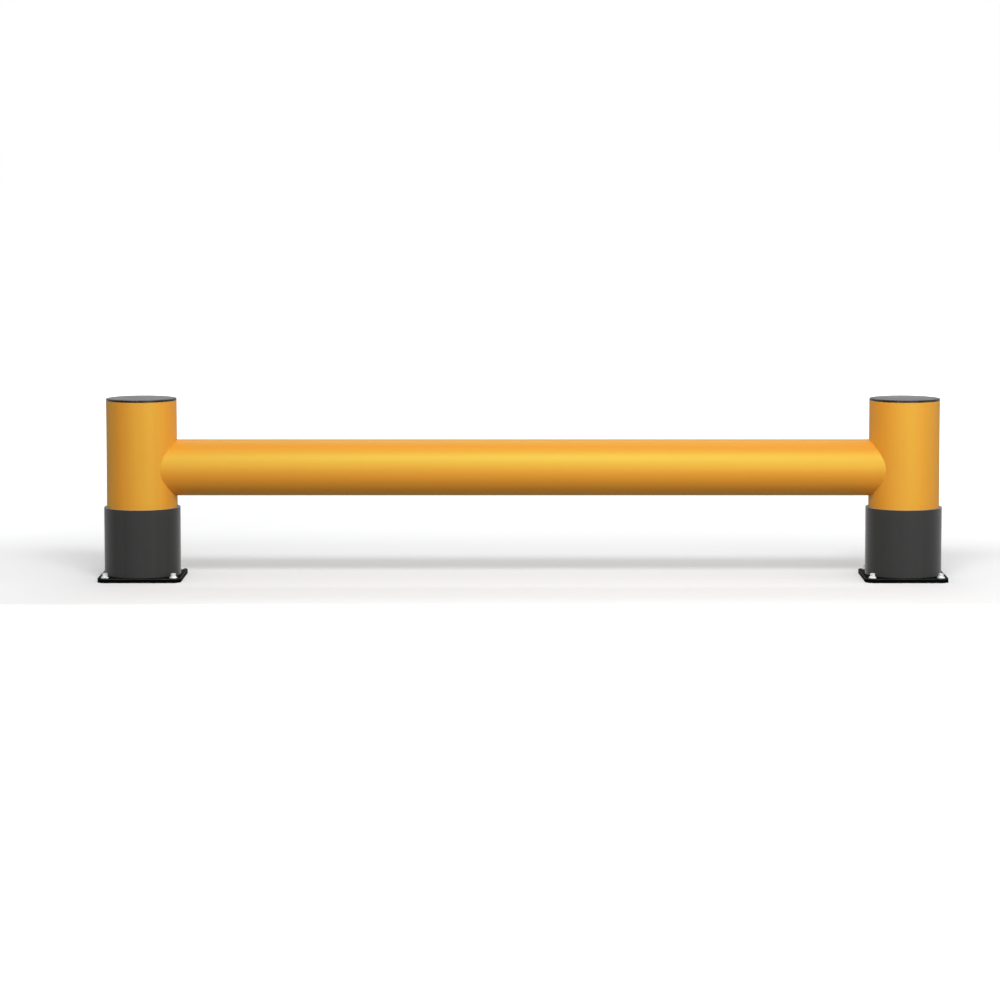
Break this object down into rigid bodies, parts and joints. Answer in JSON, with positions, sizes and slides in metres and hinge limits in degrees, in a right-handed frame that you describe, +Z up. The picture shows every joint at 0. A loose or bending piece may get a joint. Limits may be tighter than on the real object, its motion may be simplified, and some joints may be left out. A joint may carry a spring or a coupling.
{
  "type": "industrial guard rail",
  "caption": "Low impact barrier: a round polymer rail between two round polymer posts, each in a collar on a steel plate screwed to the floor.",
  "frame": {"origin": "on the floor, midway between the two posts, under the rail's axis", "axes": "+X along the rail, from the left post to the right post, +Y to the back, +Z up"},
  "size_m": [2.4, 0.235, 0.5145],
  "materials": {
    "yellow_pipe": "smooth extruded polymer, semi-matt",
    "cap_grey": "fine moulded texture, matt",
    "sleeve_charcoal": "smooth polymer, semi-matt",
    "plate_black": "black powder coat, semi-gloss",
    "spigot_steel": "black powder coat",
    "zinc_steel": "bright zinc plated"
  },
  "bodies": {
    "root": {"rail": "yellow_pipe", "post_left": "yellow_pipe", "cap_left": "cap_grey", "sleeve_left": "sleeve_charcoal", "base_plate_left": "plate_black", "spigot_left": "spigot_steel", "rail_pin_left": "zinc_steel", "post_screw_left_front_outer": "zinc_steel", "anchor_screw_left_front_outer": "zinc_steel", "anchor_washer_left_front_outer": "zinc_steel", "post_screw_left_front_inner": "zinc_steel", "anchor_screw_left_front_inner": "zinc_steel", "anchor_washer_left_front_inner": "zinc_steel", "post_screw_left_rear_outer": "zinc_steel", "anchor_screw_left_rear_outer": "zinc_steel", "anchor_washer_left_rear_outer": "zinc_steel", "post_screw_left_rear_inner": "zinc_steel", "anchor_screw_left_rear_inner": "zinc_steel", "anchor_washer_left_rear_inner": "zinc_steel", "post_right": "yellow_pipe", "cap_right": "cap_grey", "sleeve_right": "sleeve_charcoal", "base_plate_right": "plate_black", "spigot_right": "spigot_steel", "rail_pin_right": "zinc_steel", "post_screw_right_front_outer": "zinc_steel", "anchor_screw_right_front_outer": "zinc_steel", "anchor_washer_right_front_outer": "zinc_steel", "post_screw_right_front_inner": "zinc_steel", "anchor_screw_right_front_inner": "zinc_steel", "anchor_washer_right_front_inner": "zinc_steel", "post_screw_right_rear_outer": "zinc_steel", "anchor_screw_right_rear_outer": "zinc_steel", "anchor_washer_right_rear_outer": "zinc_steel", "post_screw_right_rear_inner": "zinc_steel", "anchor_screw_right_rear_inner": "zinc_steel", "anchor_washer_right_rear_inner": "zinc_steel"}
  },
  "joints": []
}
